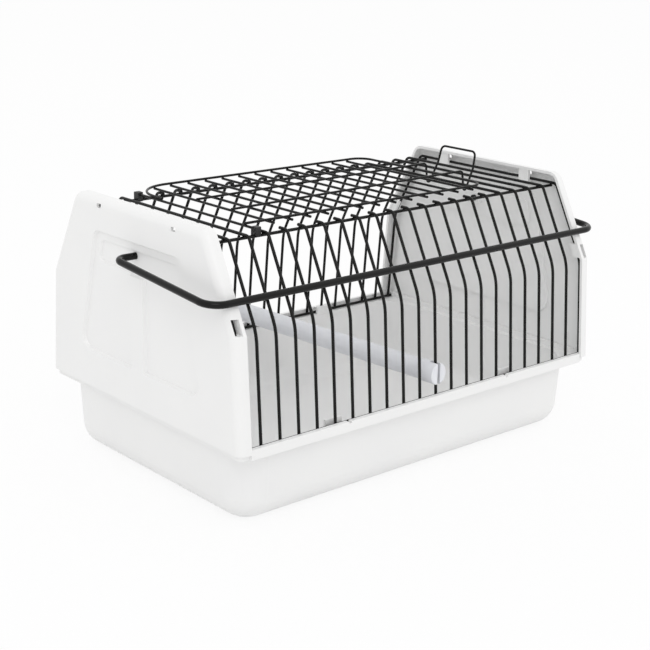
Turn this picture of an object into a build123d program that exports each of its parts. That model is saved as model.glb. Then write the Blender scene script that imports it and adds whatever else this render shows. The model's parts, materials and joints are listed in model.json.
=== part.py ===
"""Bird travel carrier: a plastic tray, two moulded end walls and a wire cage.

The cage's bars stand on a ledge inside the tray's rim and arch over the cabin.
Two end walls snap onto its outer bars, a wire door covers the opening in its roof,
a bail handle turns in the end walls and a perch is clipped across the cabin.

Millimetres. X runs along the length, -Y is the front, Z is up, and the origin is on
the floor under the middle. Heights named *_above are measured from the tray's rim.
"""

import os
from math import cos, radians, sqrt, tan

from build123d import *

os.makedirs("parts", exist_ok=True)

# --- Driving sizes ----------------------------------------------------------------

# Tray, a thin moulded tub with an outward ledge and an upright rim.
tray_height = 49.0
tray_wall = 2.2
tray_ledge_end = 3.7  # how far the tub stands in from the rim, at the ends
tray_ledge_side = 5.4
tray_body_corner = 19.5
tray_draft = 3.4  # degrees, each side
tray_foot_radius = 15.0
rim_height = 5.7
rim_wall = 1.3
rim_band_inset = 0.5  # from the end walls' sides in to the long bands between them
rim_edge_radius = 0.5
tab_length = 12.0
tab_thickness = 1.6
tab_height = 5.0
tab_place = 70.0  # from the middle, each way
tab_notch_width = 2.0
tab_notch_depth = 1.2

# Cage bars: bent wire, all on one outline, at an even pitch.
bar_diameter = 1.8
bar_pitch = 13.0
bar_count = 22
first_cut_bar_number = 3  # the first and last bars that stop at the door opening
last_cut_bar_number = 16
foot_width = 177.6  # widths over the bars' centre lines
shoulder_width = 168.6
shoulder_above = 59.6
brow_width = 121.8
roof_above = 104.7
shoulder_radius = 28.0
brow_radius = 4.0
weld_gap = 0.02
seat_gap = 0.3
rail_past_bend = 2.0  # from the brow's bend to the long roof wire under the bars
cut_bar_past_rail = 1.7

# End walls: thin caps that stand out past the bars.
wall_thickness = 1.8
wall_end_reach = 4.6  # from the last bar's centre to the wall's outer face
wall_depth = 8.0
wall_side_reach = 4.7  # from a bar's centre to the wall's outer face
wall_top_reach = 7.5
wall_skirt = 2.4  # how far it hangs past the tray's rim
wall_corner = 5.0
wall_top_corner = 8.0
lift_gap = 0.3
panel_depth = 2.0
panel_foot_above = 20.0
panel_top_above = 93.5
panel_foot_width = 118.0
panel_top_width = 84.0
panel_corner = 7.0
panel_rib_width = 12.0
panel_rib_below_pocket = 1.0
panel_taper = 30.0  # degrees, so that its edges slope
pocket_depth = 1.4
pocket_height = 13.5
pocket_inset = 5.0
hook_length = 8.0
hook_thickness = 1.8
hook_bar_gap = 0.3
side_hook_above = 65.5
roof_hook_place = 36.0
roof_slot_width = 4.2
roof_slot_height = 2.4
roof_slot_below = 3.2  # from the wall's top edge

# Handle: one rod, bent to a bail.
handle_diameter = 4.0
handle_pivot_y = 4.5
handle_pivot_below_pocket_top = 3.5
handle_front_below_pivot = 7.0
handle_side_gap = 8.0  # clear between a wall and the handle's arm
handle_end_bend = 6.0
handle_front_bend = 10.0
handle_rest_gap = 0.3
handle_bore_gap = 0.1
handle_boss_wall = 2.4
handle_boss_depth = 4.0
handle_end_past_boss = 1.5

# Door: thinner wires at the cage's own pitch under a bent frame. It lies on the cut bars.
door_wire = 1.5
door_rest_gap = 0.1
door_hinge_before_bar = 4.0  # from the first cut bar's centre
door_front_inset = 7.7  # from the ends of the cut bars
door_back_past_rail = 8.6
door_back_left_radius = 26.0
door_corner_radius = 10.0
door_frame_past_hinge = 1.0
door_frame_lap = 8.0  # along the hinge wire
door_bar_past_front = 2.5
door_bar_past_back = 0.7
hinge_clear = 0.1
hinge_pin_in_clip = 3.0

# Hinge clips, snapped down over the long roof wires.
clip_width = 3.4
clip_wall = 0.6
clip_bore_gap = 0.05
clip_inner_reach = 3.0  # from the roof wire's centre towards the middle
clip_grip = 0.6  # how far it reaches below the roof wire's centre

# Latch: two long wires on the door whose sprung ends drop past a roof bar.
latch_wire = 1.4
latch_back_y = 18.4
latch_front_y = -14.5
latch_arm_start_past = 2.0
latch_joint_before_bar = 7.5
latch_joint_gap = 0.3
latch_bend_past_bar = 1.3
latch_foot_past_bar = 3.8
latch_foot_below_roof = 11.0
latch_heel_past_bar = 12.1
latch_heel_over_roof = 5.2
latch_top_past_bar = 14.5
latch_top_over_roof = 15.6
latch_heel_inset = 0.8
latch_top_inset = 1.5
latch_foot_radius = 1.5
latch_bend_radius = 2.5
latch_top_radius = 3.2

# Perch: a plastic rod with a slotted clip at each end, one bar out of square.
perch_diameter = 12.0
perch_above = 12.0
perch_front_bar_number = 11
perch_back_bar_number = 10
perch_clip_diameter = 13.0
perch_clip_length = 13.0
perch_clip_past_bar = 2.6
perch_clip_edge = 0.8
perch_slot_width = 2.3
perch_slot_depth = 6.2
perch_socket_depth = 5.0
perch_socket_diameter = 10.0
perch_socket_gap = 0.03

# --- Sizes that follow --------------------------------------------------------------

bar_radius = bar_diameter / 2
ledge_under = tray_height - rim_height
ledge_top = ledge_under + tray_wall
foot_half = foot_width / 2
crosswire_half = foot_half - bar_diameter - weld_gap
bar_foot_z = ledge_top + seat_gap
crosswire_z = bar_foot_z + bar_radius
roof_z = tray_height + roof_above


def bar_x(number):
    """Place of a bar along the cage, numbered from the left."""
    return (number - (bar_count - 1) / 2) * bar_pitch


def cage_outline(side_reach, top_reach, foot_z):
    """Corners of the bars' outline grown outwards: foot, shoulder and brow."""
    shoulder = Vector(shoulder_width / 2, tray_height + shoulder_above)
    brow = Vector(brow_width / 2, roof_z)
    foot = Vector(foot_half, tray_height)
    lower = (shoulder - foot).normalized()
    upper = (brow - shoulder).normalized()
    lower_start = foot + Vector(lower.Y, -lower.X) * side_reach
    upper_start = shoulder + Vector(upper.Y, -upper.X) * side_reach
    gap = upper_start - lower_start
    along_lower = (gap.X * upper.Y - gap.Y * upper.X) / (lower.X * upper.Y - lower.Y * upper.X)
    grown_shoulder = lower_start + lower * along_lower
    to_foot = (foot_z - lower_start.Y) / lower.Y
    grown_foot = lower_start + lower * to_foot
    to_brow = (roof_z + top_reach - upper_start.Y) / upper.Y
    grown_brow = upper_start + upper * to_brow
    return [grown_foot, grown_shoulder, grown_brow]


def outline_half_width(corners, height):
    """Half width of an outline at one height."""
    foot, shoulder, brow = corners
    start, end = (foot, shoulder) if height < shoulder.Y else (shoulder, brow)
    share = (height - start.Y) / (end.Y - start.Y)
    return start.X + (end.X - start.X) * share


def mirrored(points):
    """The same corners on the other side, in reverse order."""
    return [(-point[0], point[1]) for point in reversed(points)]


last_bar_x = bar_x(bar_count - 1)
wall_face_x = last_bar_x + wall_end_reach
wall_inner_x = wall_face_x - wall_thickness
strip_inner_x = wall_face_x - wall_depth
rim_half_length = wall_inner_x - lift_gap
bar_corners = [(c.X, c.Y) for c in cage_outline(0, 0, bar_foot_z)]
wall_corners = cage_outline(wall_side_reach, wall_top_reach, tray_height - wall_skirt)
wall_inner_corners = cage_outline(
    wall_side_reach - wall_thickness, wall_top_reach - wall_thickness, ledge_under
)
rim_half_width = outline_half_width(wall_inner_corners, tray_height) - lift_gap
band_half_width = outline_half_width(wall_corners, tray_height) - rim_band_inset
brow_lean = Vector(*bar_corners[2]) - Vector(*bar_corners[1])
brow_turn = Vector(-1, 0).get_angle(brow_lean)
brow_setback = brow_radius * tan(radians(brow_turn / 2))
rail_y = brow_width / 2 - brow_setback - rail_past_bend
rail_z = roof_z - bar_diameter - weld_gap
cut_bar_end_y = rail_y - cut_bar_past_rail
tub_length = 2 * (rim_half_length - tray_ledge_end)
tub_width = 2 * (rim_half_width - tray_ledge_side)
rim_corner = wall_corner - wall_thickness - lift_gap
tab_y = crosswire_half - bar_radius - seat_gap - tab_thickness / 2
notch_reach = band_half_width - (rim_half_width - rim_wall) + 2 * seat_gap
notch_y = (band_half_width + rim_half_width - rim_wall) / 2

# --- Tray ---------------------------------------------------------------------------

ledge_inset = tray_wall / cos(radians(tray_draft))

with BuildPart() as tray_hollow:
    with BuildSketch(Plane.XY.offset(ledge_under)):
        RectangleRounded(
            tub_length - 2 * ledge_inset,
            tub_width - 2 * ledge_inset,
            tray_body_corner - ledge_inset,
        )
    extrude(amount=ledge_under - tray_wall, dir=(0, 0, -1), taper=tray_draft)
    fillet(tray_hollow.faces().sort_by(Axis.Z)[0].edges(), tray_foot_radius - tray_wall)

with BuildPart() as tray:
    with BuildSketch(Plane.XY.offset(ledge_under)):
        RectangleRounded(tub_length, tub_width, tray_body_corner)
    extrude(amount=ledge_under, dir=(0, 0, -1), taper=tray_draft)
    fillet(tray.faces().sort_by(Axis.Z)[0].edges(), tray_foot_radius)
    add(tray_hollow.part, mode=Mode.SUBTRACT)
    # The ledge that the cage stands on.
    with BuildSketch(Plane.XY.offset(ledge_under)):
        RectangleRounded(2 * rim_half_length, 2 * rim_half_width, rim_corner)
        RectangleRounded(
            tub_length - 2 * ledge_inset,
            tub_width - 2 * ledge_inset,
            tray_body_corner - ledge_inset,
            mode=Mode.SUBTRACT,
        )
    extrude(amount=tray_wall)
    # The upright rim, and the thicker bands that show between the end walls.
    with BuildSketch(Plane.XY.offset(ledge_under)):
        RectangleRounded(2 * rim_half_length, 2 * rim_half_width, rim_corner)
        Rectangle(2 * (strip_inner_x - lift_gap), 2 * band_half_width)
        RectangleRounded(
            2 * (rim_half_length - rim_wall),
            2 * (rim_half_width - rim_wall),
            rim_corner - rim_wall,
            mode=Mode.SUBTRACT,
        )
    extrude(amount=rim_height)
    top_edges = tray.edges().filter_by(Axis.X).group_by(Axis.Z)[-1].sort_by(Axis.Y)
    fillet([top_edges[0], top_edges[-1]], rim_edge_radius)
    # Tabs that hold the cage's long foot wires against the rim.
    with BuildSketch(Plane.XY.offset(ledge_top)):
        with GridLocations(2 * tab_place, 2 * tab_y, 2, 2):
            Rectangle(tab_length, tab_thickness)
    extrude(amount=tab_height)
    # Short notches in the rim beside the tabs.
    with BuildSketch(Plane.XY.offset(tray_height)):
        with GridLocations(2 * tab_place - tab_length, 2 * notch_y, 2, 2):
            Rectangle(tab_notch_width, notch_reach)
    extrude(amount=-tab_notch_depth, mode=Mode.SUBTRACT)
tray.part.label = "tray"
export_step(tray.part, "parts/tray.step")

# --- Cage bars ----------------------------------------------------------------------

hoop_radii = [shoulder_radius, brow_radius, brow_radius, shoulder_radius]

for number in range(bar_count):
    bar_plane = Plane.YZ.offset(bar_x(number))
    if first_cut_bar_number <= number <= last_cut_bar_number:
        stub_end = (cut_bar_end_y, roof_z)
        half_bars = {
            f"front_bar_{number:02d}": [(-y, z) for y, z in bar_corners + [stub_end]],
            f"back_bar_{number:02d}": bar_corners + [stub_end],
        }
        for label, points in half_bars.items():
            with BuildPart() as half_bar:
                with BuildLine(bar_plane) as half_route:
                    FilletPolyline(*points, radius=[shoulder_radius, brow_radius])
                with BuildSketch(Plane(origin=half_route.line @ 0, z_dir=half_route.line % 0)):
                    Circle(bar_radius)
                sweep()
            half_bar.part.label = label
            export_step(half_bar.part, f"parts/{label}.step")
    else:
        label = f"full_bar_{number:02d}"
        with BuildPart() as full_bar:
            with BuildLine(bar_plane) as full_route:
                FilletPolyline(*bar_corners, *mirrored(bar_corners), radius=hoop_radii)
            with BuildSketch(Plane(origin=full_route.line @ 0, z_dir=full_route.line % 0)):
                Circle(bar_radius)
            sweep()
        full_bar.part.label = label
        export_step(full_bar.part, f"parts/{label}.step")

# --- Long wires of the cage -----------------------------------------------------------

wire_length = 2 * last_bar_x + bar_diameter
long_wires = {
    "front_roof_wire": (-rail_y, rail_z),
    "back_roof_wire": (rail_y, rail_z),
    "front_foot_wire": (-crosswire_half, crosswire_z),
    "back_foot_wire": (crosswire_half, crosswire_z),
}
for label, (wire_y, wire_z) in long_wires.items():
    with BuildPart() as long_wire:
        with BuildSketch(Plane.YZ.offset(-wire_length / 2)):
            with Locations((wire_y, wire_z)):
                Circle(bar_radius)
        extrude(amount=wire_length)
    long_wire.part.label = label
    export_step(long_wire.part, f"parts/{label}.step")

# --- End walls ------------------------------------------------------------------------

wall_top_z = roof_z + wall_top_reach
hook_outer_x = last_bar_x - bar_radius - hook_bar_gap
side_hook_low = tray_height + side_hook_above - hook_length / 2
side_hook_high = side_hook_low + hook_length
bar_outline = [Vector(*corner) for corner in bar_corners]
slot_reach = 3 * wall_thickness
side_slot_z = (side_hook_low + side_hook_high) / 2
side_slot_y = outline_half_width(wall_corners, side_slot_z)
hook_roof_low = roof_z - bar_diameter
hook_roof_height = wall_top_z - wall_thickness / 2 - hook_roof_low
hook_roof_z = hook_roof_low + hook_roof_height / 2
roof_slot_z = wall_top_z - roof_slot_below - roof_slot_height / 2
panel_foot_z = tray_height + panel_foot_above
panel_top_z = tray_height + panel_top_above
panel_slope = (panel_foot_width - panel_top_width) / 2 / (panel_top_z - panel_foot_z)
pocket_top_z = panel_top_z - pocket_inset
pocket_foot_z = pocket_top_z - pocket_height
panel_rib_top = pocket_foot_z - panel_rib_below_pocket
pocket_top_half = panel_top_width / 2 - pocket_inset
pocket_foot_half = pocket_top_half + panel_slope * (pocket_top_z - pocket_foot_z)
pocket_floor_x = wall_inner_x - pocket_depth
pocket_back_x = pocket_floor_x - wall_thickness
handle_pivot_z = pocket_top_z - handle_pivot_below_pocket_top
handle_bore_radius = handle_diameter / 2 + handle_bore_gap
handle_boss_x = pocket_back_x - handle_boss_depth
panel_shape = [(panel_foot_width / 2, panel_foot_z), (panel_top_width / 2, panel_top_z)]
pocket_shape = [(pocket_foot_half, pocket_foot_z), (pocket_top_half, pocket_top_z)]


def hook_shape(sense):
    """Corners of a side hook between the bar's inner side and the wall's strip."""
    low_in = outline_half_width(bar_outline, side_hook_low) - bar_diameter
    high_in = outline_half_width(bar_outline, side_hook_high) - bar_diameter
    low_out = outline_half_width(wall_corners, side_hook_low) - wall_thickness / 2
    high_out = outline_half_width(wall_corners, side_hook_high) - wall_thickness / 2
    return [
        (sense * low_in, side_hook_low),
        (sense * low_out, side_hook_low),
        (sense * high_out, side_hook_high),
        (sense * high_in, side_hook_high),
    ]


for name, side in (("left", -1), ("right", 1)):
    inwards = (-side, 0, 0)
    outer_end = 0 if side < 0 else -1

    with BuildPart() as wall_hollow:
        with BuildSketch(Plane.YZ.offset(side * wall_inner_x)):
            hollow_points = [(corner.X, corner.Y) for corner in wall_inner_corners]
            with BuildLine():
                Polyline(*hollow_points, *mirrored(hollow_points), close=True)
            make_face()
            fillet(vertices().group_by(Axis.Y)[-1], wall_top_corner - wall_thickness)
        extrude(amount=2 * wall_depth, dir=inwards)
        hollow_end = wall_hollow.faces().sort_by(Axis.X)[outer_end]
        fillet(hollow_end.edges().sort_by(Axis.Z)[1:], wall_corner - wall_thickness)

    with BuildPart() as end_wall:
        with BuildSketch(Plane.YZ.offset(side * wall_face_x)):
            wall_points = [(corner.X, corner.Y) for corner in wall_corners]
            with BuildLine():
                Polyline(*wall_points, *mirrored(wall_points), close=True)
            make_face()
            fillet(vertices().group_by(Axis.Y)[-1], wall_top_corner)
        extrude(amount=wall_depth, dir=inwards)
        wall_face = end_wall.faces().sort_by(Axis.X)[outer_end]
        fillet(wall_face.edges().sort_by(Axis.Z)[1:], wall_corner)
        add(wall_hollow.part, mode=Mode.SUBTRACT)

        # Material behind the pressed panel and its deeper pocket.
        with BuildSketch(Plane.YZ.offset(side * wall_inner_x)):
            with BuildLine():
                Polyline(*panel_shape, *mirrored(panel_shape), close=True)
            make_face()
            fillet(vertices(), panel_corner)
            offset(amount=wall_thickness)
        extrude(amount=panel_depth, dir=inwards)
        with BuildSketch(Plane.YZ.offset(side * wall_inner_x)):
            with BuildLine():
                Polyline(*pocket_shape, *mirrored(pocket_shape), close=True)
            make_face()
            fillet(vertices(), panel_corner / 2)
            offset(amount=wall_thickness)
        extrude(amount=wall_inner_x - pocket_back_x, dir=inwards)
        with BuildSketch(Plane.YZ.offset(side * pocket_back_x)):
            with Locations((handle_pivot_y, handle_pivot_z)):
                Circle(handle_bore_radius + handle_boss_wall)
        extrude(amount=handle_boss_depth, dir=inwards)

        # The pressed panel, with a rib up its middle, and the pocket round the pivot.
        with BuildSketch(Plane.YZ.offset(side * wall_face_x)):
            with BuildLine():
                Polyline(*panel_shape, *mirrored(panel_shape), close=True)
            make_face()
            fillet(vertices(), panel_corner)
            with Locations((0, (tray_height + panel_rib_top) / 2)):
                Rectangle(panel_rib_width, panel_rib_top - tray_height, mode=Mode.SUBTRACT)
        extrude(amount=panel_depth, dir=inwards, taper=panel_taper, mode=Mode.SUBTRACT)
        with BuildSketch(Plane.YZ.offset(side * wall_inner_x)):
            with BuildLine():
                Polyline(*pocket_shape, *mirrored(pocket_shape), close=True)
            make_face()
            fillet(vertices(), panel_corner / 2)
        extrude(amount=pocket_depth, dir=inwards, taper=panel_taper, mode=Mode.SUBTRACT)
        with BuildSketch(Plane.YZ.offset(side * wall_face_x)):
            with Locations((handle_pivot_y, handle_pivot_z)):
                Circle(handle_bore_radius)
        extrude(amount=wall_face_x - handle_boss_x, dir=inwards, mode=Mode.SUBTRACT)

        # Hooks that catch the outermost bar: one at the front, one at the back and two
        # on top, each beside the slot that its mould core leaves.
        with BuildSketch(Plane.YZ.offset(side * hook_outer_x)):
            for sense in (-1, 1):
                with BuildLine():
                    Polyline(*hook_shape(sense), close=True)
                make_face()
            with Locations((-roof_hook_place, hook_roof_z), (roof_hook_place, hook_roof_z)):
                Rectangle(hook_length, hook_roof_height)
        extrude(amount=hook_thickness, dir=inwards)
        with BuildSketch(Plane.YZ.offset(side * wall_inner_x)):
            with Locations((-side_slot_y, side_slot_z), (side_slot_y, side_slot_z)):
                Rectangle(2 * slot_reach, hook_length)
        extrude(amount=wall_inner_x - hook_outer_x, dir=inwards, mode=Mode.SUBTRACT)
        with BuildSketch(Plane.YZ.offset(side * wall_face_x)):
            with Locations((-roof_hook_place, roof_slot_z), (roof_hook_place, roof_slot_z)):
                RectangleRounded(roof_slot_width, roof_slot_height, roof_slot_height / 4)
        extrude(amount=slot_reach, dir=inwards, mode=Mode.SUBTRACT)
    end_wall.part.label = f"end_wall_{name}"
    export_step(end_wall.part, f"parts/end_wall_{name}.step")

# --- Handle ---------------------------------------------------------------------------

handle_front_z = handle_pivot_z - handle_front_below_pivot
handle_line = cage_outline(
    wall_side_reach + handle_diameter / 2 + handle_rest_gap, wall_top_reach, tray_height
)
handle_front_y = -outline_half_width(handle_line, handle_front_z)
handle_arm = Vector(0, handle_front_y - handle_pivot_y, handle_front_z - handle_pivot_z)
handle_plane = Plane(
    origin=(0, handle_pivot_y, handle_pivot_z),
    x_dir=(1, 0, 0),
    z_dir=Vector(1, 0, 0).cross(handle_arm),
)
handle_side_x = wall_face_x + handle_side_gap + handle_diameter / 2
handle_end_x = handle_boss_x - handle_end_past_boss

with BuildPart() as handle:
    with BuildLine(handle_plane) as handle_route:
        FilletPolyline(
            (-handle_end_x, 0),
            (-handle_side_x, 0),
            (-handle_side_x, handle_arm.length),
            (handle_side_x, handle_arm.length),
            (handle_side_x, 0),
            (handle_end_x, 0),
            radius=[handle_end_bend, handle_front_bend, handle_front_bend, handle_end_bend],
        )
    with BuildSketch(Plane(origin=handle_route.line @ 0, z_dir=handle_route.line % 0)):
        Circle(handle_diameter / 2)
    sweep()
handle.part.label = "handle"
export_step(handle.part, "parts/handle.step")

# --- Door -----------------------------------------------------------------------------

latch_bar_x = bar_x(last_cut_bar_number + 2)
door_hinge_x = bar_x(first_cut_bar_number) - door_hinge_before_bar
door_right_x = bar_x(last_cut_bar_number + 1)
door_front_y = door_front_inset - cut_bar_end_y
door_back_y = rail_y + door_back_past_rail
clip_inner_y = rail_y - clip_inner_reach
hinge_end_y = clip_inner_y + hinge_pin_in_clip
hinge_z = roof_z + bar_radius + door_rest_gap + door_wire / 2
frame_z = hinge_z + door_wire + weld_gap
frame_end_y = door_back_y - door_back_left_radius - door_frame_lap
latch_arm_rise = (door_wire + latch_wire) / 2 + weld_gap
first_door_bar_x = bar_x(first_cut_bar_number + 1)

with BuildPart() as door_frame:
    with BuildLine(Plane.XY.offset(frame_z)) as frame_route:
        FilletPolyline(
            (door_hinge_x - door_frame_past_hinge, door_front_y),
            (door_right_x, door_front_y),
            (door_right_x, door_back_y),
            (door_hinge_x, door_back_y),
            (door_hinge_x, frame_end_y),
            radius=[door_corner_radius, door_corner_radius, door_back_left_radius],
        )
    with BuildSketch(Plane(origin=frame_route.line @ 0, z_dir=frame_route.line % 0)):
        Circle(door_wire / 2)
    sweep()
door_frame.part.label = "door_frame"
export_step(door_frame.part, "parts/door_frame.step")

with BuildPart() as door_hinge_wire:
    with BuildSketch(Plane.XZ.offset(-hinge_end_y)):
        with Locations((door_hinge_x, hinge_z)):
            Circle(door_wire / 2)
    extrude(amount=2 * hinge_end_y)
door_hinge_wire.part.label = "door_hinge_wire"
export_step(door_hinge_wire.part, "parts/door_hinge_wire.step")


def door_back_edge(x):
    """Where the frame's back wire lies, with its rounded corner at the hinge."""
    short_of_arc = max(door_back_left_radius - (x - door_hinge_x), 0)
    return door_back_y - door_back_left_radius + sqrt(door_back_left_radius**2 - short_of_arc**2)


bar_start_y = door_front_y - door_bar_past_front

with BuildPart() as door_bars:
    for number in range(first_cut_bar_number + 1, last_cut_bar_number + 1):
        bar_end_y = door_back_edge(bar_x(number)) + door_bar_past_back
        with BuildSketch(Plane.XZ.offset(-bar_end_y)):
            with Locations((bar_x(number), hinge_z)):
                Circle(door_wire / 2)
        extrude(amount=bar_end_y - bar_start_y)
door_bars.part.label = "door_bars"
export_step(door_bars.part, "parts/door_bars.step")


def latch_arm_height(x):
    """Height of an arm: on the first door bar, then over the frame's right side."""
    rise = (frame_z - hinge_z) / (door_right_x - first_door_bar_x)
    return hinge_z + latch_arm_rise + rise * (x - first_door_bar_x)


latch_arm_start = first_door_bar_x - latch_arm_start_past
latch_joint_x = latch_bar_x - latch_joint_before_bar
latch_arm_end = latch_joint_x - latch_joint_gap

for name, arm_y in (("front", latch_front_y), ("back", latch_back_y)):
    with BuildPart() as latch_arm:
        with BuildLine() as arm_route:
            Line(
                (latch_arm_start, arm_y, latch_arm_height(latch_arm_start)),
                (latch_arm_end, arm_y, latch_arm_height(latch_arm_end)),
            )
        with BuildSketch(Plane(origin=arm_route.line @ 0, z_dir=arm_route.line % 0)):
            Circle(latch_wire / 2)
        sweep()
    latch_arm.part.label = f"latch_arm_{name}"
    export_step(latch_arm.part, f"parts/latch_arm_{name}.step")

# The sprung end: a V that drops past the roof bar, then a heel and a finger loop.
latch_middle = (latch_back_y + latch_front_y) / 2
latch_half = (latch_back_y - latch_front_y) / 2
latch_bend_x = latch_bar_x + latch_bend_past_bar
latch_leg = [
    (latch_joint_x, latch_half, latch_arm_height(latch_joint_x)),
    (latch_bend_x, latch_half, latch_arm_height(latch_bend_x)),
    (latch_bar_x + latch_foot_past_bar, latch_half, roof_z - latch_foot_below_roof),
    (
        latch_bar_x + latch_heel_past_bar,
        latch_half - latch_heel_inset,
        roof_z + latch_heel_over_roof,
    ),
    (
        latch_bar_x + latch_top_past_bar,
        latch_half - latch_top_inset,
        roof_z + latch_top_over_roof,
    ),
]
back_leg = [(x, latch_middle + y, z) for x, y, z in latch_leg]
front_leg = [(x, latch_middle - y, z) for x, y, z in reversed(latch_leg)]
leg_radii = [latch_bend_radius, latch_foot_radius, latch_bend_radius, latch_top_radius]

with BuildPart() as latch_loop:
    with BuildLine() as latch_route:
        FilletPolyline(*back_leg, *front_leg, radius=leg_radii + leg_radii[::-1])
    with BuildSketch(Plane(origin=latch_route.line @ 0, z_dir=latch_route.line % 0)):
        Circle(latch_wire / 2)
    sweep()
latch_loop.part.label = "latch_loop"
export_step(latch_loop.part, "parts/latch_loop.step")

# --- Hinge clips ------------------------------------------------------------------------

clip_low_z = rail_z - clip_grip
clip_high_z = hinge_z + door_wire / 2 + hinge_clear + clip_wall
clip_outer_y = rail_y + bar_radius + clip_wall

for name, sense in (("front", -1), ("back", 1)):
    clip_middle = (sense * (clip_inner_y + clip_outer_y) / 2, (clip_low_z + clip_high_z) / 2)
    with BuildPart() as hinge_clip:
        with BuildSketch(Plane.YZ.offset(door_hinge_x - clip_width / 2)):
            with Locations(clip_middle):
                Rectangle(clip_outer_y - clip_inner_y, clip_high_z - clip_low_z)
        extrude(amount=clip_width)
        fillet(hinge_clip.edges().filter_by(Axis.X), clip_wall)
        with BuildSketch(Plane.YZ.offset(door_hinge_x - clip_width / 2)):
            with Locations((sense * rail_y, rail_z)):
                Circle(bar_radius + clip_bore_gap)
        extrude(amount=clip_width, mode=Mode.SUBTRACT)
        with BuildSketch(Plane.XZ.offset(-sense * clip_inner_y)):
            with Locations((door_hinge_x, hinge_z)):
                Circle(door_wire / 2 + hinge_clear)
        pin_bore = hinge_end_y + hinge_clear - clip_inner_y
        extrude(amount=-sense * pin_bore, mode=Mode.SUBTRACT)
    hinge_clip.part.label = f"hinge_clip_{name}"
    export_step(hinge_clip.part, f"parts/hinge_clip_{name}.step")

# --- Perch ------------------------------------------------------------------------------

perch_z = tray_height + perch_above
perch_bar_y = outline_half_width(bar_outline, perch_z)
perch_line = Vector(bar_x(perch_front_bar_number) - bar_x(perch_back_bar_number), -2 * perch_bar_y, 0)
perch_axis = perch_line.normalized()
perch_across = Vector(0, 0, 1).cross(perch_axis)
perch_centre = Vector((bar_x(perch_front_bar_number) + bar_x(perch_back_bar_number)) / 2, 0, perch_z)
perch_clip_end = perch_line.length / 2 + perch_clip_past_bar
perch_clip_start = perch_clip_end - perch_clip_length


def perch_plane(distance, sense):
    """Plane across the perch, so far from its middle, facing the clip's end."""
    return Plane(
        origin=perch_centre + perch_axis * (sense * distance),
        x_dir=perch_across,
        z_dir=perch_axis * sense,
    )


with BuildPart() as perch:
    with BuildSketch(perch_plane(-perch_clip_start, 1)):
        Circle(perch_diameter / 2)
    extrude(amount=2 * perch_clip_start)
    for sense in (-1, 1):
        with BuildSketch(perch_plane(perch_clip_start, sense)):
            Circle(perch_socket_diameter / 2)
        extrude(amount=perch_socket_depth)
perch.part.label = "perch"
export_step(perch.part, "parts/perch.step")

for name, sense in (("front", 1), ("back", -1)):
    with BuildPart() as perch_clip:
        with BuildSketch(perch_plane(perch_clip_start, sense)):
            Circle(perch_clip_diameter / 2)
        extrude(amount=perch_clip_length)
        fillet(perch_clip.edges(), perch_clip_edge)
        with BuildSketch(perch_plane(perch_clip_start, sense)):
            Circle(perch_socket_diameter / 2 + perch_socket_gap)
        extrude(amount=perch_socket_depth + perch_socket_gap, mode=Mode.SUBTRACT)
        with BuildSketch(perch_plane(perch_clip_end, sense)):
            Rectangle(perch_slot_width, perch_clip_diameter)
        extrude(amount=-perch_slot_depth, mode=Mode.SUBTRACT)
    perch_clip.part.label = f"perch_clip_{name}"
    export_step(perch_clip.part, f"parts/perch_clip_{name}.step")
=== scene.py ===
# %% [markdown]
# A bird travel carrier
#
# The real carrier is a white tray, two white end walls, a cage of black wire that arches
# between them, a wire door in the roof, a rod handle and a perch. Its shape is already
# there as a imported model, so this lesson is about its finishes, about the small things
# that a maker's process leaves behind, and about the light. The first cell loads that
# model. Its parts stay where they are, in metres, with the floor at height zero.

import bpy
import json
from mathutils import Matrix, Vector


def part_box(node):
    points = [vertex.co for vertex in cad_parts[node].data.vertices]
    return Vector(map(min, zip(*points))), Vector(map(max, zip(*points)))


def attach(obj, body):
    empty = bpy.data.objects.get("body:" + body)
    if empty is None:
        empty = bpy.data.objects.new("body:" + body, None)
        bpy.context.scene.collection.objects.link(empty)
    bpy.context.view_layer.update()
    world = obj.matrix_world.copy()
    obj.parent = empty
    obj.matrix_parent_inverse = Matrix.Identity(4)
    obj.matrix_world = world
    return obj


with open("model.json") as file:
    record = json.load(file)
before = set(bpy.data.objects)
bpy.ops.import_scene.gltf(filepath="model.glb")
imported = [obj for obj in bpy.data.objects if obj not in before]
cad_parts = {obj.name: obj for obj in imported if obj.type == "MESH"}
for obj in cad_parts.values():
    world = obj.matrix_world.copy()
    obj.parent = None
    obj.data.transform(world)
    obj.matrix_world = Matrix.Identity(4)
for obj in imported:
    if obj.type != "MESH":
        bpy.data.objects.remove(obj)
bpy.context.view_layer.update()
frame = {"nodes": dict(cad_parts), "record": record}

# %% [markdown]
# Everything below works in metres, and small sizes read better in millimetres, so one
# constant turns one into the other. Blender comes with the rest of the modules.

# %% Modules and units
import json
from math import cos, pi, radians, sin

import bpy
from mathutils import Matrix, Vector

MM = 0.001
nodes = frame["nodes"]

# %% [markdown]
# The camera
#
# A photograph gives its camera away: the lines of the tray and the even spacing of the
# bars only fit one viewpoint. It could be found by eye, but here it was worked out from
# points on the bars, and it stands at the front and to the left, well back, and looks
# down a little. The roll is the small tilt of a camera on its tripod.

# %% Camera
CAMERA_PLACE = Vector((-0.5469, -0.6198, 0.3219))
CAMERA_TURN = radians(-41.29)  # from straight at the front, towards the left end
CAMERA_DOWN = radians(16.95)
CAMERA_ROLL = radians(1.23)
IMAGE_PIXELS = 650
FOCAL_PIXELS = 1389.4
SENSOR = 36.0  # mm, the usual full frame

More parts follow.
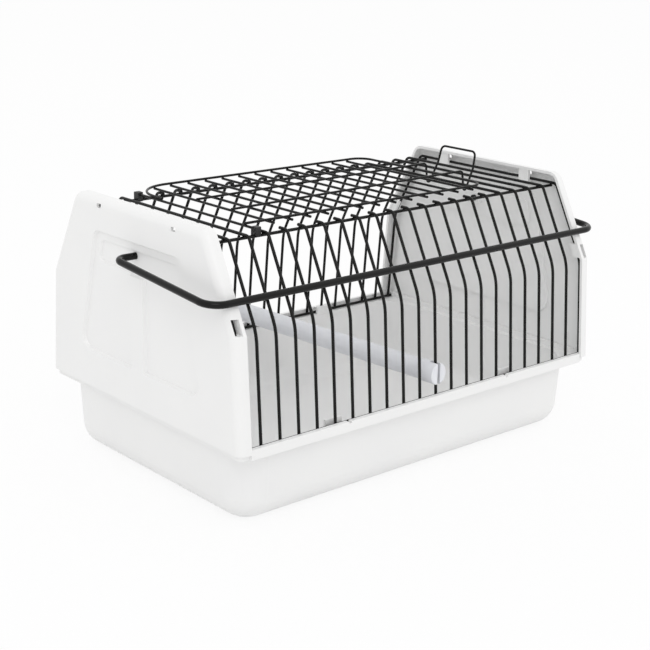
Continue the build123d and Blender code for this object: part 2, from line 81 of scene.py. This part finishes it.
camera = bpy.data.objects.new("camera", bpy.data.cameras.new("camera"))
bpy.context.scene.collection.objects.link(camera)
camera.data.sensor_width = SENSOR
camera.data.lens = SENSOR * FOCAL_PIXELS / IMAGE_PIXELS
camera.data.clip_start = 0.02
camera.data.clip_end = 50.0
camera.matrix_world = (
    Matrix.Translation(CAMERA_PLACE)
    @ Matrix.Rotation(CAMERA_TURN, 4, "Z")
    @ Matrix.Rotation(pi / 2 - CAMERA_DOWN, 4, "X")
    @ Matrix.Rotation(CAMERA_ROLL, 4, "Z")
)
bpy.context.scene.camera = camera
bpy.context.scene.view_settings.view_transform = "Standard"
print("lens", round(camera.data.lens, 1), "mm")

# %% [markdown]
# Two helpers for materials
#
# Colours are picked as the sRGB hex values that a screen shows, and Blender's shaders
# count in linear light, so one function turns the first into the second. A material is a
# small network of nodes, and one function adds any kind of node: its settings are either
# the values of its sockets or its own properties, and its links say what feeds a socket.

# %% Colour and node helpers
def linear(hex_colour):
    """A colour such as #F2F2F0 as linear red, green, blue and full opacity."""
    values = [int(hex_colour[i:i + 2], 16) / 255 for i in (1, 3, 5)]
    return [v / 12.92 if v <= 0.04045 else ((v + 0.055) / 1.055) ** 2.4 for v in values] + [1.0]


def add_node(tree, kind, settings=None, links=None):
    """A node of that kind, with its properties and sockets set and its sockets linked."""
    node = tree.nodes.new(kind)
    for name, value in (settings or {}).items():
        if isinstance(name, int) or name in node.inputs:
            node.inputs[name].default_value = value
        else:
            setattr(node, name, value)
    for name, (source, output) in (links or {}).items():
        tree.links.new(source.outputs[output], node.inputs[name])
    return node


def new_tree(name):
    """A new material with an empty node tree."""
    material = bpy.data.materials.new(name)
    material.use_nodes = True
    material.node_tree.nodes.clear()
    return material, material.node_tree


print("linear light of white paper", [round(v, 3) for v in linear("#F2F2F0")])

# %% [markdown]
# White polypropylene, injection moulded
#
# The tray and the end walls are shot in a polished steel mould. The plastic is slightly
# cloudy, with a soft gloss: broad, gentle reflections and no sharp ones. The melt cools
# unevenly, so large faces are never perfectly flat, and the mould's polish leaves a very
# fine haze. One wide noise gives the slow waviness, about 45 mm from crest to crest, and
# one narrow noise the haze. The real haze is near 0.1 mm, too fine to show here, so it
# is drawn at 0.8 mm.

# %% Material of the tray and the end walls
WAVE = 45 * MM
HAZE = 0.8 * MM

white_plastic, tree = new_tree("moulded_white_polypropylene")
place = add_node(tree, "ShaderNodeTexCoord")
wave = add_node(
    tree, "ShaderNodeTexNoise", {"Scale": 1 / WAVE, "Detail": 1.0}, {"Vector": (place, "Object")}
)
haze = add_node(
    tree, "ShaderNodeTexNoise", {"Scale": 1 / HAZE, "Detail": 2.0}, {"Vector": (place, "Object")}
)
tint = add_node(tree, "ShaderNodeValToRGB", links={"Fac": (wave, "Fac")})
tint.color_ramp.elements[0].color = linear("#EFEFEF")
tint.color_ramp.elements[1].color = linear("#F4F4F3")
gloss = add_node(
    tree, "ShaderNodeMapRange", {"To Min": 0.30, "To Max": 0.42}, {"Value": (haze, "Fac")}
)
waviness = add_node(
    tree, "ShaderNodeBump", {"Strength": 0.25, "Distance": 0.6 * MM}, {"Height": (wave, "Fac")}
)
surface = add_node(
    tree,
    "ShaderNodeBump",
    {"Strength": 0.25, "Distance": 0.02 * MM},
    {"Height": (haze, "Fac"), "Normal": (waviness, "Normal")},
)
shader = add_node(
    tree,
    "ShaderNodeBsdfPrincipled",
    {"IOR": 1.49, "Metallic": 0.0},
    {
        "Base Color": (tint, "Color"),
        "Roughness": (gloss, "Result"),
        "Normal": (surface, "Normal"),
    },
)
add_node(tree, "ShaderNodeOutputMaterial", links={"Surface": (shader, "BSDF")})
print(white_plastic.name, "waves every", WAVE / MM, "mm")

# %% [markdown]
# Steel wire with a black baked coating
#
# The bars are steel wire, welded and then coated with black powder that melts in an oven
# to a smooth skin. The steel never shows. Such a skin has a faint orange peel, dimples
# about as wide as the wire is thick, and its gloss changes a little from place to place.
# The wire is only 1.8 mm thick, so the dimples are drawn at 1.2 mm.

# %% Material of the wires
PEEL = 1.2 * MM


def coated_steel(name, dark, light, peel, rough_low, rough_high):
    """Baked black coating on steel, with its orange peel that far from dimple to dimple."""
    material, tree = new_tree(name)
    place = add_node(tree, "ShaderNodeTexCoord")
    dimples = add_node(
        tree, "ShaderNodeTexNoise", {"Scale": 1 / peel, "Detail": 1.0}, {"Vector": (place, "Object")}
    )
    patches = add_node(
        tree,
        "ShaderNodeTexNoise",
        {"Scale": 1 / (12 * peel), "Detail": 3.0},
        {"Vector": (place, "Object")},
    )
    tint = add_node(tree, "ShaderNodeValToRGB", links={"Fac": (patches, "Fac")})
    tint.color_ramp.elements[0].color = linear(dark)
    tint.color_ramp.elements[1].color = linear(light)
    gloss = add_node(
        tree,
        "ShaderNodeMapRange",
        {"From Min": 0.3, "From Max": 0.7, "To Min": rough_low, "To Max": rough_high},
        {"Value": (patches, "Fac")},
    )
    peel_bump = add_node(
        tree, "ShaderNodeBump", {"Strength": 0.3, "Distance": 0.05 * MM}, {"Height": (dimples, "Fac")}
    )
    shader = add_node(
        tree,
        "ShaderNodeBsdfPrincipled",
        {"IOR": 1.45, "Metallic": 0.0, "Specular IOR Level": 0.25},
        {
            "Base Color": (tint, "Color"),
            "Roughness": (gloss, "Result"),
            "Normal": (peel_bump, "Normal"),
        },
    )
    add_node(tree, "ShaderNodeOutputMaterial", links={"Surface": (shader, "BSDF")})
    return material


black_wire = coated_steel("powder_coated_steel_wire", "#0B0B0A", "#131312", PEEL, 0.26, 0.38)
print(black_wire.name, "dimples every", PEEL / MM, "mm")

# %% [markdown]
# The handle is a thicker rod with the same kind of coating, laid on thicker and flowed
# out smoother, so that a lamp shows in it as a bright line along each straight run and
# flares at the bends. It gets the same recipe with wider, shallower dimples and more
# gloss.

# %% Material of the handle
black_rod = coated_steel("gloss_coated_steel_rod", "#080808", "#0E0E0D", 2.5 * PEEL, 0.10, 0.18)
print(black_rod.name)

# %% [markdown]
# Two plastics for small parts
#
# The hinge clips are black nylon, moulded in a mould that was spark eroded and left a
# matt grain. The perch and its clips are white polypropylene with the same kind of grain
# so that a bird's claws grip, and a little blue in the white. One recipe serves both: a
# grain of tiny cells at 0.5 mm, and a slow change of tone.

# %% Materials of the hinge clips and the perch
GRAIN = 0.5 * MM


def grained_plastic(name, dark, light, ior, roughness, depth):
    """Moulded plastic with a spark eroded grain of that depth in metres."""
    material, tree = new_tree(name)
    place = add_node(tree, "ShaderNodeTexCoord")
    cells = add_node(
        tree, "ShaderNodeTexVoronoi", {"Scale": 1 / GRAIN}, {"Vector": (place, "Object")}
    )
    patches = add_node(
        tree,
        "ShaderNodeTexNoise",
        {"Scale": 1 / (16 * GRAIN), "Detail": 2.0},
        {"Vector": (place, "Object")},
    )
    tint = add_node(tree, "ShaderNodeValToRGB", links={"Fac": (patches, "Fac")})
    tint.color_ramp.elements[0].color = linear(dark)
    tint.color_ramp.elements[1].color = linear(light)
    gloss = add_node(
        tree,
        "ShaderNodeMapRange",
        {"To Min": roughness - 0.06, "To Max": roughness + 0.06},
        {"Value": (cells, "Distance")},
    )
    grain = add_node(
        tree, "ShaderNodeBump", {"Strength": 0.4, "Distance": depth}, {"Height": (cells, "Distance")}
    )
    shader = add_node(
        tree,
        "ShaderNodeBsdfPrincipled",
        {"IOR": ior, "Metallic": 0.0},
        {
            "Base Color": (tint, "Color"),
            "Roughness": (gloss, "Result"),
            "Normal": (grain, "Normal"),
        },
    )
    add_node(tree, "ShaderNodeOutputMaterial", links={"Surface": (shader, "BSDF")})
    return material


black_clip = grained_plastic("moulded_black_nylon", "#161617", "#202021", 1.53, 0.50, 0.05 * MM)
perch_plastic = grained_plastic(
    "grained_white_polypropylene", "#DFE1E6", "#E9EAEE", 1.49, 0.48, 0.05 * MM
)
print(black_clip.name, perch_plastic.name)

# %% [markdown]
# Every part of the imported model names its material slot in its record, so the new
# materials go on by slot.

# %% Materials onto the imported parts
FINISHES = {
    "white_plastic": white_plastic,
    "black_wire": black_wire,
    "black_rod": black_rod,
    "black_clip": black_clip,
    "perch_plastic": perch_plastic,
}
for part in frame["record"]["subparts"]:
    node = nodes[part["node"]]
    for place_in_node in range(len(node.data.materials)):
        node.data.materials[place_in_node] = FINISHES[part["material_slot"]]

# %% [markdown]
# Two things show up close on such a cage. Each crossing is spot welded: the wires melt
# into each other and a small bead stays round the joint. And each cut end is rounded by
# the coating, which draws back from the sharp edge into a drop. Both are small lathed
# shapes, so one function turns a profile round an axis and adds it to a growing mesh.

# %% A function for small lathed shapes
def lathe(mesh, centre, axis, profile, sides=12):
    """Adds a profile of (distance along the axis, radius) turned round it, closed at its ends."""
    vertices, faces = mesh
    along = Vector(axis).normalized()
    across = along.orthogonal().normalized()
    third = along.cross(across)
    first = len(vertices)
    for distance, radius in profile:
        for step in range(sides):
            angle = 2 * pi * step / sides
            offset = across * (radius * cos(angle)) + third * (radius * sin(angle))
            vertices.append(Vector(centre) + along * distance + offset)
    for ring in range(len(profile) - 1):
        for step in range(sides):
            here = first + ring * sides
            after = (step + 1) % sides
            faces.append((here + step, here + after, here + sides + after, here + sides + step))
    faces.append(tuple(first + step for step in reversed(range(sides))))
    last = first + (len(profile) - 1) * sides
    faces.append(tuple(last + step for step in range(sides)))


def add_piece(name, mesh, material, body):
    """A piece of the scene from vertices and faces, which rides on that body."""
    data = bpy.data.meshes.new(name)
    data.from_pydata([tuple(v) for v in mesh[0]], [], mesh[1])
    data.shade_smooth()
    data.materials.append(material)
    piece = bpy.data.objects.new(name, data)
    bpy.context.scene.collection.objects.link(piece)
    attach(piece, body)
    return piece


def middle(node):
    """The middle of a part's box."""
    low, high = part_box(node)
    return (low + high) / 2


def size(node):
    """The lengths of a part's box."""
    low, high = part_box(node)
    return high - low


WIRE_RADIUS = size("front_roof_wire").z / 2
DOOR_WIRE_RADIUS = size("door_hinge_wire").z / 2
print("wires", round(2 * WIRE_RADIUS / MM, 2), "and", round(2 * DOOR_WIRE_RADIUS / MM, 2), "mm")

# %% [markdown]
# Weld beads
#
# Each bar crosses a long wire at its foot and another at the bend of the roof. The long
# wires lie on the inner side of the bars. A spot welder presses the two together and
# melts a small lens between them. A bead therefore runs from one centre to the other, and
# it is narrower than the wire, with its waist where the two touch.

# %% Weld beads of the cage
BEAD_END = 0.82  # shares of the wire's radius
BEAD_WAIST = 0.62


def bead(mesh, start, end, radius):
    """A weld bead between the centres of two wires of about that radius."""
    reach = Vector(end) - Vector(start)
    ends = [(0.12, 0.5 * BEAD_END), (0.24, BEAD_END), (0.40, 0.9 * BEAD_END)]
    shape = ends + [(0.5, BEAD_WAIST)] + [(1 - share, width) for share, width in reversed(ends)]
    profile = [(share * reach.length, width * radius) for share, width in shape]
    lathe(mesh, start, reach, profile)


bar_names = sorted(name for name in nodes if "_bar_" in name)
front_bars = [name for name in bar_names if not name.startswith("back")]
back_bars = [name for name in bar_names if not name.startswith("front")]

cage_beads = ([], [])
for sense, side, names in ((-1, "front", front_bars), (1, "back", back_bars)):
    foot, roof = middle(f"{side}_foot_wire"), middle(f"{side}_roof_wire")
    for name in names:
        bar = middle(name).x
        on_foot = Vector((bar, foot.y, foot.z))
        on_roof = Vector((bar, roof.y, roof.z))
        bead(cage_beads, on_foot, on_foot + Vector((0, sense * 2 * WIRE_RADIUS, 0)), WIRE_RADIUS)
        bead(cage_beads, on_roof, on_roof + Vector((0, 0, 2 * WIRE_RADIUS)), WIRE_RADIUS)
add_piece("cage_weld_beads", cage_beads, black_wire, "cage")
print(len(front_bars) + len(back_bars), "bar legs, each welded twice,", len(cage_beads[0]), "vertices")

# %% [markdown]
# The door is welded in the same way: its bars lie under the long sides of its frame. The
# bars stand at one pitch, so their places follow from the box round all of them.

# %% Weld beads of the door
DOOR_BAR_COUNT = 13
bars_low, bars_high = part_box("door_bars")
first_door_bar = bars_low.x + DOOR_WIRE_RADIUS
last_door_bar = bars_high.x - DOOR_WIRE_RADIUS
door_bar_step = (last_door_bar - first_door_bar) / (DOOR_BAR_COUNT - 1)
door_bar_places = [first_door_bar + number * door_bar_step for number in range(DOOR_BAR_COUNT)]
door_bar_height = middle("door_bars").z
frame_low, frame_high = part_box("door_frame")
frame_height = middle("door_frame").z
frame_front = frame_low.y + DOOR_WIRE_RADIUS
frame_back = frame_high.y - DOOR_WIRE_RADIUS
FRAME_CORNER = 26 * MM  # radius of the corner at the hinge, where the back wire turns away
straight_from = frame_low.x + FRAME_CORNER

door_beads = ([], [])
for bar in door_bar_places:
    sides = [frame_front]
    if bar > straight_from:
        sides.append(frame_back)
    for along in sides:
        start = Vector((bar, along, door_bar_height))
        bead(door_beads, start, (bar, along, frame_height), DOOR_WIRE_RADIUS)
hinge = middle("door_hinge_wire")
on_hinge = (hinge.x, frame_front, hinge.z)
bead(door_beads, on_hinge, (hinge.x, frame_front, frame_height), DOOR_WIRE_RADIUS)
add_piece("door_weld_beads", door_beads, black_wire, "door")
print(len(door_bar_places), "door bars at", round(door_bar_step / MM, 2), "mm")

# %% [markdown]
# Drops at the cut ends
#
# A wire is sheared, which leaves a sharp edge, and melted powder won't stay on an edge: it
# draws back and gathers into a rounded drop over the end. The drop is a hair wider than
# the wire.

# %% Drops of coating
DROP_SIDES = 16
DROP = [(-0.5, 1.0), (-0.2, 1.04), (0.1, 1.03), (0.4, 0.86), (0.6, 0.58), (0.7, 0.2)]


def drop(mesh, end, outwards, radius):
    """A rounded drop over a wire's cut end, that looks outwards."""
    lathe(mesh, end, outwards, [(share * radius, width * radius) for share, width in DROP], DROP_SIDES)


cage_drops = ([], [])
for name in bar_names:
    if name.startswith("full"):
        continue
    low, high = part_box(name)
    sense = -1 if name.startswith("front") else 1
    end_y = high.y if sense < 0 else low.y
    end = (middle(name).x, end_y, high.z - WIRE_RADIUS)
    drop(cage_drops, end, (0, -sense, 0), WIRE_RADIUS)
add_piece("cage_wire_end_drops", cage_drops, black_wire, "cage")

door_drops = ([], [])
for bar in door_bar_places:
    drop(door_drops, (bar, bars_low.y, door_bar_height), (0, -1, 0), DOOR_WIRE_RADIUS)
    if bar > straight_from:
        drop(door_drops, (bar, bars_high.y, door_bar_height), (0, 1, 0), DOOR_WIRE_RADIUS)
drop(door_drops, (frame_low.x, frame_front, frame_height), (-1, 0, 0), DOOR_WIRE_RADIUS)
add_piece("door_wire_end_drops", door_drops, black_wire, "door")
print(len(cage_drops[0]) // (DROP_SIDES * len(DROP)), "drops on the cage")

# %% [markdown]
# The studio
#
# The photograph is a catalogue picture: the carrier stands on white, in light from all
# round, and hardly throws a shadow. A very large floor and a plain world give that, with
# three soft lamps for shape. The lamps are set so that a colour renders about as it is
# written. The white behind the carrier doesn't come from more light: camera, glossy and
# transmission rays see the world and much of the floor as plain white.

# %% Floor, world and lamps
FLOOR_HALF = 6.0
FLOOR_GLOW = 0.88  # share of the floor that is plain white to the camera


def white_to_the_eye(tree):
    """A value of 1 for camera, glossy and transmission rays and 0 for the rest."""
    path = add_node(tree, "ShaderNodeLightPath")
    seen = add_node(
        tree,
        "ShaderNodeMath",
        {"operation": "MAXIMUM"},
        {0: (path, "Is Camera Ray"), 1: (path, "Is Glossy Ray")},
    )
    return add_node(
        tree,
        "ShaderNodeMath",
        {"operation": "MAXIMUM"},
        {0: (seen, "Value"), 1: (path, "Is Transmission Ray")},
    )


paper, tree = new_tree("matt_white_paper")
seen = white_to_the_eye(tree)
share = add_node(
    tree, "ShaderNodeMath", {"operation": "MULTIPLY", 1: FLOOR_GLOW}, {0: (seen, "Value")}
)
matt = add_node(tree, "ShaderNodeBsdfDiffuse", {"Color": linear("#F6F6F6")})
glow = add_node(tree, "ShaderNodeEmission", {"Strength": 1.0})
mixed = add_node(
    tree, "ShaderNodeMixShader", links={0: (share, "Value"), 1: (matt, "BSDF"), 2: (glow, "Emission")}
)
add_node(tree, "ShaderNodeOutputMaterial", links={"Surface": (mixed, "Shader")})

corners = [(x * FLOOR_HALF, y * FLOOR_HALF, 0.0) for x, y in ((-1, -1), (1, -1), (1, 1), (-1, 1))]
floor_mesh = bpy.data.meshes.new("floor")
floor_mesh.from_pydata(corners, [], [(0, 1, 2, 3)])
floor_mesh.materials.append(paper)
floor = bpy.data.objects.new("floor", floor_mesh)
bpy.context.scene.collection.objects.link(floor)

WORLD_LIGHT = 0.90
world = bpy.data.worlds.new("white_studio")
world.use_nodes = True
tree = world.node_tree
tree.nodes.clear()
seen = white_to_the_eye(tree)
strength = add_node(
    tree, "ShaderNodeMapRange", {"To Min": WORLD_LIGHT, "To Max": 1.0}, {"Value": (seen, "Value")}
)
sky = add_node(
    tree, "ShaderNodeBackground", {"Color": linear("#FFFFFF")}, {"Strength": (strength, "Result")}
)
add_node(tree, "ShaderNodeOutputWorld", links={"Surface": (sky, "Background")})
bpy.context.scene.world = world

# Each lamp: where it hangs, the width of its square, and its watts. All point at the cabin.
CABIN = Vector((0, 0, 0.08))
LAMPS = {
    "key_softbox": ((-1.3, -1.9, 2.2), 1.6, 12.0),
    "fill_softbox": ((2.0, -1.2, 1.4), 1.8, 2.0),
    "top_softbox": ((0.2, 0.6, 2.6), 1.6, 3.0),
}
for name, (lamp_place, lamp_size, watts) in LAMPS.items():
    lamp = bpy.data.objects.new(name, bpy.data.lights.new(name, "AREA"))
    lamp.data.size = lamp_size
    lamp.data.energy = watts
    lamp.location = lamp_place
    aim = CABIN - lamp.location
    lamp.rotation_euler = aim.to_track_quat("-Z", "Y").to_euler()
    bpy.context.scene.collection.objects.link(lamp)
print(len(LAMPS), "lamps and a world at", WORLD_LIGHT)
